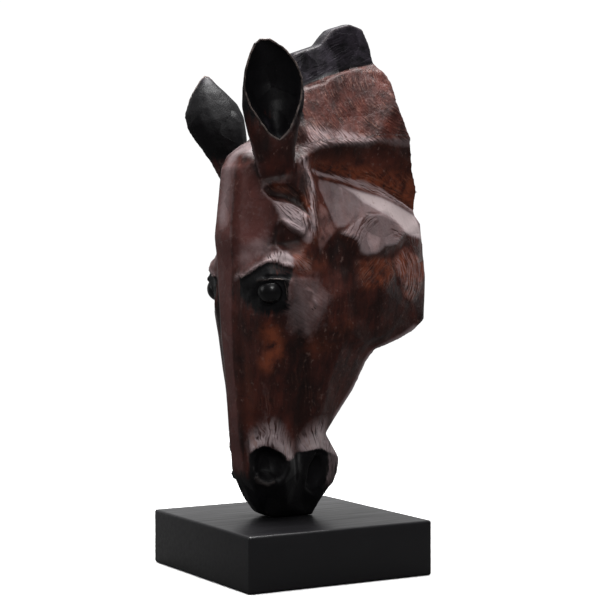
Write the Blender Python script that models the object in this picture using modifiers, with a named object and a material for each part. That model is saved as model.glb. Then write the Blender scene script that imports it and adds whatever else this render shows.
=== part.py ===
"""A horse's head cut in broad chiselled planes, standing on its lips on a square black plinth.

Metres, +Z up. The origin is the middle of the plinth's underside. The forehead faces -Y, the neck runs
back to +Y, and the animal's left side is +X.

Both sides of the head are one net of carved planes, and the net is mirrored. It hangs on named lines: the
outline of the head seen from its side, and the creases that run over that side. Their corners are steps of
a carving grid, so the whole head grows with HEAD_HEIGHT.
"""

import math

import bmesh
import bpy
from mathutils import Matrix, Vector
from mathutils.geometry import delaunay_2d_cdt

# Driving sizes
PLINTH_SIDE = 0.200
PLINTH_HEIGHT = 0.053
PLINTH_EDGE = 0.0025
PLINTH_EDGE_STEPS = 3
HEAD_HEIGHT = 0.483
HEAD_GAP = 0.0003

# The carving grid has this many steps in the head's height
GRID_STEPS = 483
STEP = HEAD_HEIGHT / GRID_STEPS
SEAT = PLINTH_HEIGHT + HEAD_GAP

# Boolean cuts and joins leave specks below this length, which are merged
MERGE = 0.00005

# The outline of the head from its side, round from the lips by the nose, poll, mane and jaw.
# Each stretch has the crown of its middle line over its two edges, and corners of (back, up, out).
OUTLINE = {
    "foot": (0, [(19, 0, 12), (-25, 0, 12)]),
    "lips": (1, [(-34, 4, 14), (-43, 16, 16)]),
    "nose": (0.5, [(-52, 35, 16), (-57, 46, 16), (-62, 78, 14), (-66, 129, 15)]),
    "forehead": (0.5, [(-70, 175, 17), (-73, 254, 17), (-75, 272, 17), (-69, 338, 17)]),
    "poll": (2, [(-60, 351, 17), (-48, 360, 17), (-37, 367, 15)]),
    "mane": (1, [(-33, 392, 11), (-20, 422, 11), (0, 450, 10), (29, 460, 10)]),
    "mane tuft": (1, [(36, 469, 10), (43, 476, 10), (62, 482, 10), (77, 478, 10), (84, 464, 11)]),
    "nape": (1, [(88, 445, 13), (91, 440, 17), (95, 435, 24), (99, 424, 30)]),
    "neck cut": (0, [(98, 405, 41), (112, 368, 45), (118, 338, 40), (124, 317, 39), (122, 295, 35)]),
    "jaw": (1, [(128, 286, 37), (129, 270, 39), (134, 232, 38), (134, 190, 36), (124, 180, 34)]),
    "under jaw": (-5, [(110, 172, 32), (92, 165, 31), (80, 161, 29), (72, 148, 25), (61, 123, 21)]),
    "chin": (1, [(40, 93, 18), (31, 80, 17), (38, 68, 18), (45, 55, 19), (44, 43, 19)]),
    "under lip": (2, [(40, 31, 17), (30, 19, 15), (22, 7, 13)]),
}

# The creases on the side of the head, each a run of corners of (back, up, out)
CREASES = {
    "edge of the forehead plane": [
        (-57, 341, 34), (-53, 317, 41), (-46, 302, 52), (-44, 287, 56), (-48, 270, 54), (-57, 259, 44),
        (-66, 247, 33), (-71, 238, 22),
    ],
    "brow": [(-70, 230, 26), (-67, 243, 40), (-57, 253, 49), (-44, 257, 60), (-30, 249, 66)],
    "under the brow": [(-70, 230, 26), (-66, 237, 45), (-58, 246, 54), (-50, 249, 58), (-39, 243, 63)],
    "upper eyelid": [(-70, 230, 26), (-65, 231, 53), (-57, 235, 62), (-45, 234, 65), (-35, 227, 66)],
    "lower eyelid": [(-69, 218, 25), (-66, 212, 36), (-60, 206, 46), (-49, 204, 56), (-38, 211, 63)],
    "ear foot": [(-57, 341, 34), (-48, 323, 42), (-33, 326, 46), (-17, 330, 49)],
    "hollow under the ear": [(-53, 317, 41), (-38, 311, 42), (-24, 306, 46), (-15, 299, 52)],
    "temple ridge": [(-46, 302, 52), (-29, 300, 53), (-17, 291, 59)],
    "temple edge": [(-44, 287, 56), (-34, 281, 60), (-23, 275, 63), (-17, 291, 59)],
    "hollow over the brow": [(-48, 270, 54), (-37, 263, 55), (-24, 262, 61)],
    "cheek arch": [(-17, 345, 48), (-8, 323, 53), (-11, 294, 60), (-10, 270, 63), (-30, 249, 66)],
    "root of the mane": [(-22, 399, 20), (5, 418, 17), (32, 431, 15), (63, 440, 14), (88, 445, 13)],
    "ledge under the mane": [(-21, 394, 27), (5, 414, 23), (32, 427, 20), (63, 436, 18), (91, 440, 17)],
    "edge of the neck plane": [
        (-17, 345, 48), (3, 356, 51), (18, 360, 52), (38, 362, 52), (68, 365, 50), (112, 368, 45),
    ],
    "hollow of the throat": [
        (-6, 337, 45), (9, 334, 39), (30, 330, 36), (52, 325, 35), (78, 320, 34), (97, 314, 34),
        (117, 303, 34),
    ],
    "top of the cheek": [
        (-2, 331, 46), (25, 323, 44), (50, 318, 43), (76, 313, 42), (94, 308, 40), (122, 295, 35),
    ],
    "front of the cheek plane": [(-2, 331, 46), (10, 305, 50), (14, 294, 52), (21, 282, 56)],
    "foot of the cheek plane": [
        (21, 282, 56), (33, 284, 57), (48, 293, 55), (62, 296, 54), (80, 296, 51), (107, 276, 47),
        (129, 270, 39),
    ],
    "cheekbone": [
        (21, 282, 56), (28, 273, 59), (39, 268, 61), (48, 255, 61), (63, 256, 59), (77, 262, 56),
        (95, 266, 51), (107, 276, 47),
    ],
    "step under the cheekbone": [
        (19, 274, 55), (33, 262, 57), (45, 249, 57), (64, 250, 55), (79, 256, 52), (97, 260, 48),
    ],
    "middle of the cheek": [(14, 246, 56), (42, 222, 58), (75, 219, 55), (100, 246, 48), (112, 211, 43)],
    "bevel of the jaw": [
        (107, 276, 47), (120, 248, 43), (112, 211, 43), (110, 201, 42), (98, 185, 41), (84, 176, 42),
        (70, 174, 44), (47, 171, 49), (30, 173, 52), (12, 177, 55),
    ],
    "zygoma": [(-30, 249, 66), (-27, 227, 66), (-21, 203, 62), (-15, 184, 58), (12, 177, 55)],
    "groove below the eye": [
        (-35, 214, 63), (-27, 192, 57), (-19, 164, 49), (-8, 150, 46), (-7, 129, 41), (-9, 98, 35),
        (-6, 68, 31), (-1, 42, 26), (3, 17, 19),
    ],
    "bars of the jaw": [(10, 165, 48), (20, 139, 43), (18, 115, 37), (12, 90, 31), (7, 78, 30)],
    "edge of the bars": [(72, 167, 34), (56, 158, 35), (52, 139, 31), (37, 110, 26), (26, 84, 23)],
    "cheek of the nose": [(-59, 196, 47), (-56, 175, 45), (-51, 129, 39), (-38, 98, 33)],
    "groove of the nose": [(-69, 211, 29), (-65, 175, 26), (-61, 129, 22), (-59, 98, 19)],
    "rim of the nostril": [
        (-58, 67, 21), (-52, 77, 28), (-37, 77, 36), (-25, 66, 39), (-22, 52, 39), (-28, 38, 37),
        (-42, 33, 32), (-51, 41, 25), (-56, 53, 21), (-58, 67, 21),
    ],
    "brow of the nostril": [(-59, 80, 19), (-51, 92, 27), (-38, 98, 33), (-26, 85, 35), (-14, 70, 32)],
    "lip fold": [(7, 78, 30), (16, 68, 29), (24, 60, 24), (23, 40, 22), (17, 20, 19)],
    "foot of the muzzle": [(-34, 15, 21), (-16, 10, 22), (3, 17, 19), (17, 20, 19)],
}

# Ears: where the middle of the foot and the tip stand, the way the mouth of the ear faces (degrees from +X
# towards -Y), and its shape. The far ear is carved lower and leans out.
LEFT_EAR = {
    "foot": (-38, 322, 44), "tip": (-66, 458, 62), "faces": 14,
    "breadth": 0.98, "lean": 1.5, "point": 0,
}
RIGHT_EAR = {
    "foot": (-38, 325, -40), "tip": (-56, 433, -72), "faces": 192,
    "breadth": 0.93, "lean": -1.2, "point": 1.5,
}
# Along the ear from foot to tip: share of its length, half width, shift to the rear, depth of the back,
# bulge of the front
EAR_SECTIONS = [
    (0.00, 13, 0, 18, -12),
    (0.07, 18, 0, 18, -2),
    (0.16, 20, 0, 18, 4),
    (0.24, 22, 0, 19, 6),
    (0.30, 24, 1, 20, 6),
    (0.36, 26, 1, 21, 6),
    (0.44, 29, 2, 22, 5),
    (0.55, 32, 3, 22, 3),
    (0.67, 31, 4, 20, 1),
    (0.79, 27, 4, 17, 0),
    (0.89, 19, 3, 12, 0),
    (0.96, 10, 1, 7, 0),
]
# An ear with a point narrows faster above this share of its length
POINT_STARTS = 0.66
EAR_BACK_POINTS = 8
EAR_MOUTH_POINTS = 9
EAR_WALL = 2.5
# The mouth of the ear opens from a corner low on the stalk. Both are shares of the half width, and the
# corner lies to the rear of the middle. The rear rim swings out faster than the fore rim.
MOUTH_CORNER = 0.12
MOUTH_RIM = 0.93
REAR_SWING = 0.35
FORE_SWING = 0.6
MOUTH_STARTS = 0.30
MOUTH_OPEN = 0.65

EYEBALL = (-51, 221, 52)
EYEBALL_RADIUS = 12
EYEBALL_SIDES = 18
EYEBALL_RINGS = 12

# Hollows that are scooped out of the net: centre, radii and turn about +Z in degrees
NOSTRIL = {"at": (-44, 55, 36), "radii": (17, 18, 19), "turn": -20}
MOUTH_SLIT = {"at": (16, 41, 28), "radii": (12, 11, 18), "turn": 20}
SCOOP_SIDES = 16
SCOOP_RINGS = 10


def material(name, colour, roughness):
    """A plain finish: painted resin or lacquered board."""
    made = bpy.data.materials.new(name)
    made.use_nodes = True
    shader = made.node_tree.nodes["Principled BSDF"]
    shader.inputs["Base Color"].default_value = (*colour, 1.0)
    shader.inputs["Roughness"].default_value = roughness
    shader.inputs["Metallic"].default_value = 0.0
    return made


def place(corner):
    """A corner of (back, up, out) on the carving grid, as a point of the object."""
    back, up, out = corner
    return Vector((out * STEP, back * STEP, SEAT + up * STEP))


def add_object(name, shape, collection):
    """A bmesh as an object of its own in a collection."""
    mesh = bpy.data.meshes.new(name)
    shape.to_mesh(mesh)
    shape.free()
    made = bpy.data.objects.new(name, mesh)
    collection.objects.link(made)
    if collection is GUIDES:
        made.hide_render = True
        made.display_type = "WIRE"
    return made


def crown_direction(corners, number):
    """The way out of the outline at one corner, square to the line between its neighbours."""
    before, after = corners[number - 1], corners[(number + 1) % len(corners)]
    along = Vector((after[0] - before[0], after[1] - before[1]))
    return Vector((-along.y, along.x)).normalized()


def carved_half():
    """The left half of the head: the net of planes, and a band from its outline to the middle plane."""
    outline = [corner for _, corners in OUTLINE.values() for corner in corners]
    crowns = [crown for crown, corners in OUTLINE.values() for _ in corners]
    numbers = {}
    for corner in outline + [corner for line in CREASES.values() for corner in line]:
        numbers.setdefault(corner[:2], (len(numbers), corner))
    corners = [corner for _, corner in numbers.values()]
    rim = [numbers[corner[:2]][0] for corner in outline]
    edges = [(rim[i - 1], rim[i]) for i in range(len(rim))]
    for line in CREASES.values():
        ends = [numbers[corner[:2]][0] for corner in line]
        edges += list(zip(ends, ends[1:]))
    flat = [Vector(corner[:2]) for corner in corners]
    turned = list(reversed(rim))
    net = delaunay_2d_cdt(flat, edges, [turned], 1, 1e-4)
    half = bmesh.new()
    points = []
    for spot, sources in zip(net[0], net[3]):
        out = corners[sources[0]][2] if sources else crossing_out(spot, corners, edges)
        points.append(half.verts.new(place((spot.x, spot.y, out))))
    for triangle in net[2]:
        half.faces.new([points[i] for i in triangle])
    middles = {}
    for i, (corner, crown) in enumerate(zip(outline, crowns)):
        way = crown_direction(outline, i)
        middles[i] = half.verts.new(place((corner[0] + crown * way.x, corner[1] + crown * way.y, 0)))
    by_source = {sources[0]: points[i] for i, sources in enumerate(net[3]) if sources}
    for i, number in enumerate(rim):
        before = rim[i - 1]
        band = [by_source[before], by_source[number], middles[i], middles[(i - 1) % len(rim)]]
        half.faces.new(band)
    bmesh.ops.recalc_face_normals(half, faces=half.faces)
    return half


def crossing_out(spot, corners, edges):
    """How far out two creases lie where they cross between their corners."""
    best = None
    for a, b in edges:
        start, end = Vector(corners[a][:2]), Vector(corners[b][:2])
        along = end - start
        share = max(0.0, min(1.0, (spot - start).dot(along) / along.length_squared))
        miss = (start + along * share - spot).length
        if best is None or miss < best[0]:
            best = (miss, corners[a][2] + (corners[b][2] - corners[a][2]) * share)
    return best[1]


def ear_front(opened):
    """Places across an ear's front from rear to fore edge, each with its share of the cup's depth."""
    rear = MOUTH_CORNER + (MOUTH_RIM - MOUTH_CORNER) * max(opened, MERGE) ** REAR_SWING
    fore = MOUTH_CORNER - (MOUTH_RIM + MOUTH_CORNER) * max(opened, MERGE) ** FORE_SWING
    places = [((2 + rear) / 3, 0.0), ((1 + 2 * rear) / 3, 0.0)]
    for i in range(EAR_MOUTH_POINTS):
        along = i / (EAR_MOUTH_POINTS - 1)
        places.append((rear + (fore - rear) * along, 4 * along * (1 - along)))
    return places + [((2 * fore - 1) / 3, 0.0), ((fore - 2) / 3, 0.0)]


def ear(name, plan):
    """A cupped leaf: a loft of crescents from a solid foot to the tip."""
    foot, tip = place(plan["foot"]), place(plan["tip"])
    faces = Matrix.Rotation(-math.radians(plan["faces"]), 3, "Z") @ Vector((1, 0, 0))
    length = (tip - foot).length
    rise = (tip - foot).normalized()
    to_rear = rise.cross(faces).normalized()
    to_rear *= math.copysign(1, to_rear.y)
    faces = (faces - rise * faces.dot(rise)).normalized()
    shape = bmesh.new()
    rings = []
    for share, half_width, shift, back, bulge in EAR_SECTIONS:
        half_width *= plan["breadth"] * (1 - plan["point"] * max(0.0, share - POINT_STARTS))
        centre = foot + rise * (length * share) + to_rear * (shift * plan["lean"] * STEP)
        opened = max(0.0, min(1.0, (share - MOUTH_STARTS) / (MOUTH_OPEN - MOUTH_STARTS)))
        cup = (back + bulge - EAR_WALL) * math.sqrt(opened)
        ring = []
        for i in range(EAR_BACK_POINTS):
            turn = math.pi * (i / (EAR_BACK_POINTS - 1) - 0.5)
            ring.append((half_width * math.sin(turn), -back * math.cos(turn)))
        for side, scoop in ear_front(opened):
            ring.append((half_width * side, bulge * math.sqrt(max(0.0, 1 - side ** 2)) - cup * scoop))
        rings.append([shape.verts.new(centre + to_rear * (w * STEP) + faces * (d * STEP)) for w, d in ring])
    for lower, upper in zip(rings, rings[1:]):
        for i in range(len(lower)):
            j = (i + 1) % len(lower)
            shape.faces.new((lower[i], lower[j], upper[j], upper[i]))
    shape.faces.new(list(reversed(rings[0])))
    top = shape.verts.new(tip)
    last = rings[-1]
    for i in range(len(last)):
        shape.faces.new((last[i], last[(i + 1) % len(last)], top))
    bmesh.ops.recalc_face_normals(shape, faces=shape.faces)
    return add_object(name, shape, GUIDES)


def ball(name, at, radii, turn, sides, rings):
    """A round or oval ball, for an eye or a scoop."""
    shape = bmesh.new()
    bmesh.ops.create_uvsphere(shape, u_segments=sides, v_segments=rings, radius=1.0)
    size = Matrix.Diagonal(Vector(radii) * STEP).to_4x4()
    swing = Matrix.Rotation(math.radians(turn), 4, "Z")
    shape.transform(Matrix.Translation(place(at)) @ swing @ size)
    return add_object(name, shape, GUIDES)


def mirrored(at):
    """The same corner on the other side of the middle plane."""
    return (at[0], at[1], -at[2])


def boolean(target, other, operation):
    """Joins or cuts with the exact solver."""
    step = target.modifiers.new(f"{operation.lower()} {other.name}", "BOOLEAN")
    step.operation = operation
    step.solver = "EXACT"
    step.object = other


def build_head():
    """The head with its ears, eyes, nostrils and mouth."""
    head = add_object("horse_head", carved_half(), PARTS)
    halves = head.modifiers.new("both sides", "MIRROR")
    halves.use_axis = (True, False, False)
    halves.merge_threshold = MERGE
    boolean(head, ear("left ear", LEFT_EAR), "UNION")
    boolean(head, ear("right ear", RIGHT_EAR), "UNION")
    for side, sign in (("left", 1), ("right", -1)):
        def at(corner):
            return corner if sign > 0 else mirrored(corner)
        radii = (EYEBALL_RADIUS,) * 3
        eye = ball(f"{side} eye", at(EYEBALL), radii, 0, EYEBALL_SIDES, EYEBALL_RINGS)
        boolean(head, eye, "UNION")
        for name, scoop in (("nostril", NOSTRIL), ("mouth slit", MOUTH_SLIT)):
            cutter = ball(f"{side} {name}", at(scoop["at"]), scoop["radii"], sign * scoop["turn"],
                          SCOOP_SIDES, SCOOP_RINGS)
            boolean(head, cutter, "DIFFERENCE")
    head.data.materials.append(material("patinated_resin", (0.045, 0.022, 0.018), 0.5))
    return head


def build_plinth():
    """The square block, its corners and edges softened."""
    shape = bmesh.new()
    bmesh.ops.create_cube(shape, size=1.0)
    block = Matrix.Diagonal((PLINTH_SIDE, PLINTH_SIDE, PLINTH_HEIGHT, 1.0))
    shape.transform(Matrix.Translation((0, 0, PLINTH_HEIGHT / 2)) @ block)
    plinth = add_object("plinth", shape, PARTS)
    edge = plinth.modifiers.new("soft edges", "BEVEL")
    edge.width = PLINTH_EDGE
    edge.segments = PLINTH_EDGE_STEPS
    plinth.data.materials.append(material("black_lacquer", (0.012, 0.012, 0.014), 0.4))
    return plinth


for old in list(bpy.data.objects):
    bpy.data.objects.remove(old)
PARTS = bpy.data.collections.new("horse head sculpture")
GUIDES = bpy.data.collections.new("cutters and joined shapes")
for group in (PARTS, GUIDES):
    bpy.context.scene.collection.children.link(group)
build_plinth()
build_head()
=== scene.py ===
# %% [markdown]
# # A horse head of painted resin on a black plinth
#
# The real object is a hollow resin casting of a horse's head, cut in broad planes as with a knife. It is
# painted dark red-brown, rubbed with grey on what stands out and painted black on the ears, mane, eyes and
# lips. It stands nose down on a square block with a satin black lacquer.
#
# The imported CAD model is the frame: it fixes where each piece is and how large. This script gives each
# piece the fine relief and the finish that the solids don't have.

# %% Load the frame
import math

import bpy
import numpy as np
from mathutils import Matrix, Vector


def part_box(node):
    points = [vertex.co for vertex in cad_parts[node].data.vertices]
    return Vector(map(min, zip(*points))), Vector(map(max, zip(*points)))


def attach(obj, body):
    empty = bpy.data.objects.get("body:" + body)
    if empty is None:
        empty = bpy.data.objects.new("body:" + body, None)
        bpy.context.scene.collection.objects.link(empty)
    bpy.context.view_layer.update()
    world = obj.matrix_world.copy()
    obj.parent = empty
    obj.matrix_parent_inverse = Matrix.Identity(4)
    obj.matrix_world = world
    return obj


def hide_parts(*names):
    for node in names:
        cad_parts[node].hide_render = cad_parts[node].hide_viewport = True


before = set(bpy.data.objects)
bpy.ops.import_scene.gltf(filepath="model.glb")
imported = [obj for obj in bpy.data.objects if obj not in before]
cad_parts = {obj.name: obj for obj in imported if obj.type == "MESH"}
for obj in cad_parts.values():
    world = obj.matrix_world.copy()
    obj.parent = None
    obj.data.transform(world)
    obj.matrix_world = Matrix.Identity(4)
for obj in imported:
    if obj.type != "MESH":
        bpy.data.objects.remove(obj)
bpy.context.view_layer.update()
MM = 0.001

# %% [markdown]
# ## Selecting
# An operator acts on all that is selected, and loading leaves the CAD nodes selected. So each step starts
# by selecting just the one object that it is meant for, or nothing before a new one is added.

# %% Select one object
def choose(obj):
    """Selects one object alone, or none."""
    bpy.ops.object.select_all(action="DESELECT")
    if obj:
        obj.select_set(True)
        bpy.context.view_layer.objects.active = obj


def settle(obj):
    """Applies all modifiers in their order, as by hand."""
    choose(obj)
    for step in list(obj.modifiers):
        bpy.ops.object.modifier_apply(modifier=step.name)


print("left selected by loading", sorted(obj.name for obj in bpy.context.selected_objects))
choose(None)

# %% [markdown]
# ## The camera
# The photograph was taken with a long lens from almost level, 60 degrees round from the animal's face. The
# lens, place and turn below were worked out from the seven corners of the plinth that it shows.

# %% Camera
VIEW_ROUND, VIEW_UP = math.radians(59.926), math.radians(1.82)
LENS, FILM_WIDTH = 108.4, 36
DISTANCE = 1.7678
AIM_RIGHT, AIM_HEIGHT = 0.0096, 0.2638
backwards = Vector((
    math.sin(VIEW_ROUND) * math.cos(VIEW_UP),
    -math.cos(VIEW_ROUND) * math.cos(VIEW_UP),
    math.sin(VIEW_UP),
))
rightwards = Vector((math.cos(VIEW_ROUND), math.sin(VIEW_ROUND), 0))
bpy.ops.object.camera_add()
camera = bpy.context.object
camera.name = "camera"
camera.data.lens = LENS
camera.data.sensor_width = FILM_WIDTH
turn = Matrix((rightwards, backwards.cross(rightwards), backwards)).transposed()
camera.matrix_world = Matrix.Translation(
    rightwards * AIM_RIGHT + Vector((0, 0, AIM_HEIGHT)) + backwards * DISTANCE
) @ turn.to_4x4()
bpy.context.scene.camera = camera
print("camera at", [round(c, 3) for c in camera.location])

# %% [markdown]
# ## The head's mesh
# The solid has the right planes, but its triangles are large. Relief a few millimetres wide needs points
# that close, so a copy of the solid gets a new skin of even squares from the Remesh modifier. The squares
# are 1.85 mm: fine enough for an eyelid, and still under 200,000 triangles. A CAD mesh is loose triangles,
# so their corners are merged first.

# %% A finer skin over the solid
SKIN_SQUARE = 1.85 * MM
head = bpy.data.objects.new("carved_head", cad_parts["horse_head"].data.copy())
bpy.context.scene.collection.objects.link(head)
head.data.materials.clear()
choose(head)
bpy.ops.object.mode_set(mode="EDIT")
bpy.ops.mesh.select_all(action="SELECT")
bpy.ops.mesh.remove_doubles(threshold=0.00001)
bpy.ops.object.mode_set(mode="OBJECT")
skin = head.modifiers.new("even skin", "REMESH")
skin.mode = "VOXEL"
skin.voxel_size = SKIN_SQUARE
settle(head)
print("head skin", len(head.data.vertices), "points", len(head.data.polygons), "faces")

# %% [markdown]
# ## Working on points
# Sculpting by hand means strokes of a brush: each pushes the points near a line in or out, most at the
# line and less further off. In a script the same is done with lists of points. All places are in
# millimetres, x to the animal's left, y to its back and z up from the ground, and a stroke on one side is
# made on the other too.

# %% Points, normals and strokes
def points_of(obj):
    flat = np.empty(len(obj.data.vertices) * 3)
    obj.data.vertices.foreach_get("co", flat)
    return flat.reshape(-1, 3) / MM


def move_points(obj, points):
    obj.data.vertices.foreach_set("co", (points * MM).ravel())
    obj.data.update()


def normals_of(obj):
    flat = np.empty(len(obj.data.vertices) * 3)
    obj.data.vertex_normals.foreach_get("vector", flat)
    return flat.reshape(-1, 3)


def distance_to_line(points, line):
    """The distance of each point from a line through the given places."""
    best = np.full(len(points), 1e9)
    line = np.array(line, float)
    for start, end in zip(line, line[1:]):
        along = end - start
        share = np.clip(((points - start) @ along) / (along @ along), 0, 1)
        best = np.minimum(best, np.linalg.norm(points - start - share[:, None] * along, axis=1))
    return best


def both_sides(points):
    """The points with those of the right side brought over to the left."""
    return np.abs(points) * [1, 0, 0] + points * [0, 1, 1]


def near(points, line, radius):
    """1 on the line, falling smoothly to 0 at the radius."""
    share = np.clip(1 - distance_to_line(points, line) / radius, 0, 1)
    return share * share * (3 - 2 * share)


print("head reaches", np.ptp(points_of(head), axis=0).round(1), "mm in x, y and z")

# %% [markdown]
# ## Soft and crisp
# A carver leaves some edges crisp, such as those of the forehead and the brow, and rubs the others round.
# The lines below stay crisp, and so do the lips' foot, the top of the mane and the ears. The Smooth
# modifier smooths the rest, through a vertex group.

# %% The edges that stay crisp
CRISP = {
    "forehead strip": [(17, -52, 88), (17, -57, 99), (15, -62, 131), (16, -66, 182), (17, -70, 228),
        (17, -73, 307), (17, -75, 325), (17, -69, 391), (17, -60, 404), (17, -48, 413)],
    "forehead plane": [(34, -57, 394), (41, -53, 370), (52, -46, 355), (56, -44, 340), (54, -48, 323),
        (44, -57, 312), (33, -66, 300), (22, -71, 291)],
    "brow": [(26, -70, 283), (40, -67, 296), (49, -57, 306), (60, -44, 310), (66, -30, 302)],
    "under the brow": [(26, -70, 283), (45, -66, 290), (54, -58, 299), (58, -50, 302), (63, -39, 296)],
    "upper eyelid": [(26, -70, 283), (53, -65, 284), (62, -57, 288), (65, -45, 287), (66, -35, 280)],
    "top of the forehead": [(17, -69, 391), (34, -57, 394), (38, -44, 395)],
    "poll": [(17, -60, 404), (34, -57, 394)],
    "below the ear": [(41, -53, 370), (42, -38, 364), (46, -24, 359), (52, -15, 352)],
    "temple": [(52, -46, 355), (53, -29, 353), (59, -17, 344), (63, -23, 328), (60, -34, 334),
        (56, -44, 340)],
    "behind the ear": [(48, -17, 398), (53, -8, 376), (60, -11, 347)],
    "root of the mane": [(20, -22, 452), (17, 5, 471), (15, 32, 484), (14, 63, 493), (13, 88, 498)],
    "ledge of the mane": [(27, -21, 447), (23, 5, 467), (20, 32, 480), (18, 63, 489), (17, 91, 493)],
    "foot of the neck plane": [(48, -17, 398), (51, 3, 409), (52, 18, 413), (52, 38, 415), (50, 68, 418),
        (45, 112, 421)],
    "top of the cheek": [(46, -2, 384), (44, 25, 376), (43, 50, 371), (42, 76, 366), (40, 94, 361),
        (35, 122, 348)],
    "foot of the cheek plane": [(56, 21, 335), (57, 33, 337), (55, 48, 346), (54, 62, 349), (51, 80, 349),
        (47, 107, 329), (39, 129, 323)],
    "step of the cheekbone": [(55, 19, 327), (57, 33, 315), (57, 45, 302), (55, 64, 303), (52, 79, 309),
        (48, 97, 313)],
    "bevel of the jaw": [(47, 107, 329), (43, 120, 301), (43, 112, 264), (42, 110, 254), (41, 98, 238),
        (42, 84, 229), (44, 70, 227), (49, 47, 224)],
    "back of the jaw": [(35, 122, 348), (37, 128, 339), (39, 129, 323), (38, 134, 285), (36, 134, 243),
        (34, 124, 233), (32, 110, 225), (31, 92, 218), (29, 80, 214)],
    "neck cut": [(30, 99, 477), (41, 98, 458), (45, 112, 421), (40, 118, 391), (39, 124, 370),
        (35, 122, 348)],
    "nostril": [(21, -58, 120), (28, -52, 130), (36, -37, 130), (39, -25, 119), (39, -22, 105)],
    "lip": [(30, 7, 131), (29, 16, 121), (24, 24, 113), (22, 23, 93), (19, 17, 73)],
}
CRISP_REACH = 9.6
CRISP_STRENGTH = 1.3
LIP_FOOT, MANE_TOP = 62, 500
EAR_AXIS, EAR_REACH = [(38, -40, 400), (64, -68, 520)], 45
SOFT_ROUNDS, LAST_ROUNDS = 7, 4
WEIGHT_STEPS = 10

points = points_of(head)
sided = both_sides(points)
crisp = np.zeros(len(points))
for line in CRISP.values():
    crisp = np.maximum(crisp, near(sided, line, CRISP_REACH))
crisp = np.maximum(crisp, (points[:, 2] < LIP_FOOT) | (points[:, 2] > MANE_TOP))
crisp = np.maximum(crisp, near(sided, EAR_AXIS, EAR_REACH) > 0.05)
# A vertex group is filled one weight at a time, so the weights go in ten steps
soft = head.vertex_groups.new(name="soft")
level = np.round((1 - np.clip(crisp * CRISP_STRENGTH, 0, 1)) * WEIGHT_STEPS).astype(int)
for step in range(1, WEIGHT_STEPS + 1):
    soft.add(np.flatnonzero(level == step).tolist(), step / WEIGHT_STEPS, "REPLACE")
smooth = head.modifiers.new("rubbed round", "SMOOTH")
smooth.factor = 0.5
smooth.iterations = SOFT_ROUNDS
smooth.vertex_group = "soft"
last = head.modifiers.new("voxel steps off", "SMOOTH")
last.factor = 0.5
last.iterations = LAST_ROUNDS
settle(head)
print("soft share", round(float((level > 5).mean()), 2), "moved at most",
      round(float(np.linalg.norm(points_of(head) - points, axis=1).max()), 1), "mm")

# %% [markdown]
# ## Plates and hollows
# Seen from the side, the cheek and temple are laid out in plates with a cut edge, like thick slabs of clay
# laid on. The areas are outlines in y and z; the paint uses them too. A plate is an area, its height in
# millimetres, which is below 0 for a hollow, and half the width of its edge.

# %% Raise the plates, sink the hollows
def ramp(values, low, high):
    """0 up to the low value, 1 from the high one, and a smooth slope between them."""
    share = np.clip((values - low) / (high - low), 0, 1)
    return share * share * (3 - 2 * share)


def within(points, outline, blur):
    """1 inside an outline drawn on the side view, 0 outside, with an edge as wide as twice the blur."""
    corners = np.array(outline, float)
    y, z = points[:, 1], points[:, 2]
    best, inside = np.full(len(points), 1e9), np.zeros(len(points), bool)
    for (ay, az), (by, bz) in zip(corners, np.roll(corners, -1, axis=0)):
        dy, dz = by - ay, bz - az
        share = np.clip(((y - ay) * dy + (z - az) * dz) / (dy * dy + dz * dz), 0, 1)
        best = np.minimum(best, np.hypot(y - ay - share * dy, z - az - share * dz))
        inside ^= ((az > z) != (bz > z)) & (y < dy * (z - az) / (dz + 1e-9) + ay)
    return ramp(np.where(inside, best, -best), -blur, blur)


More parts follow.
